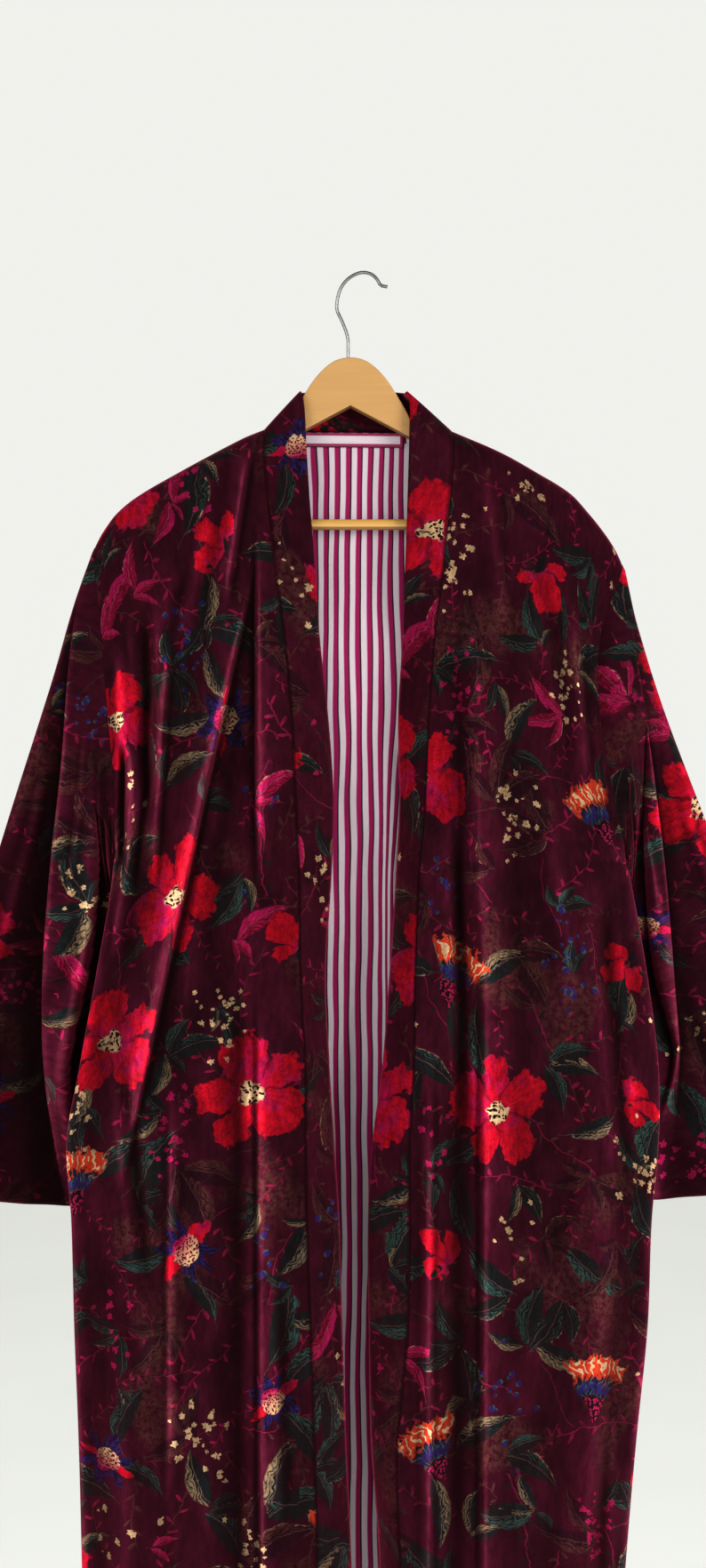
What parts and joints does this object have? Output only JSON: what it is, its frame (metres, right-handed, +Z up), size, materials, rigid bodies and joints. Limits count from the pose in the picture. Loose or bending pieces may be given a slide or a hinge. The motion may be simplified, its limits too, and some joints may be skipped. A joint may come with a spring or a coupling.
{
  "type": "kimono robe on a flat wooden hanger",
  "caption": "Long open-front kimono robe with neckband, wide sleeves and striped lining, hanging flat on a wooden hanger with a bar and a wire hook.",
  "frame": {"origin": "the top of the inside of the hook, the point by which the hanger hangs", "axes": "+Z up, -Y out of the front of the robe, +X to the right of a viewer standing in front"},
  "size_m": [0.88, 0.0996, 1.3031],
  "materials": {
    "velvet": "soft printed pile with a sheen at grazing angles",
    "lining": "matt plain-weave cotton with vertical stripes",
    "binding": "matt plain-weave cotton with lengthwise stripes",
    "hanger_wood": "clear satin varnish over straight grain",
    "hanger_bar": "clear satin varnish",
    "steel_wire": "bright drawn wire"
  },
  "bodies": {
    "root": {"back": "velvet", "front_left": "velvet", "front_right": "velvet", "sleeve_left": "velvet", "sleeve_right": "velvet", "band_left": "velvet", "band_right": "velvet", "band_neck": "velvet", "lining_back": "lining", "neck_binding": "binding", "hanger_wood": "hanger_wood", "hanger_bar": "hanger_bar", "hanger_hook": "steel_wire"}
  },
  "joints": []
}
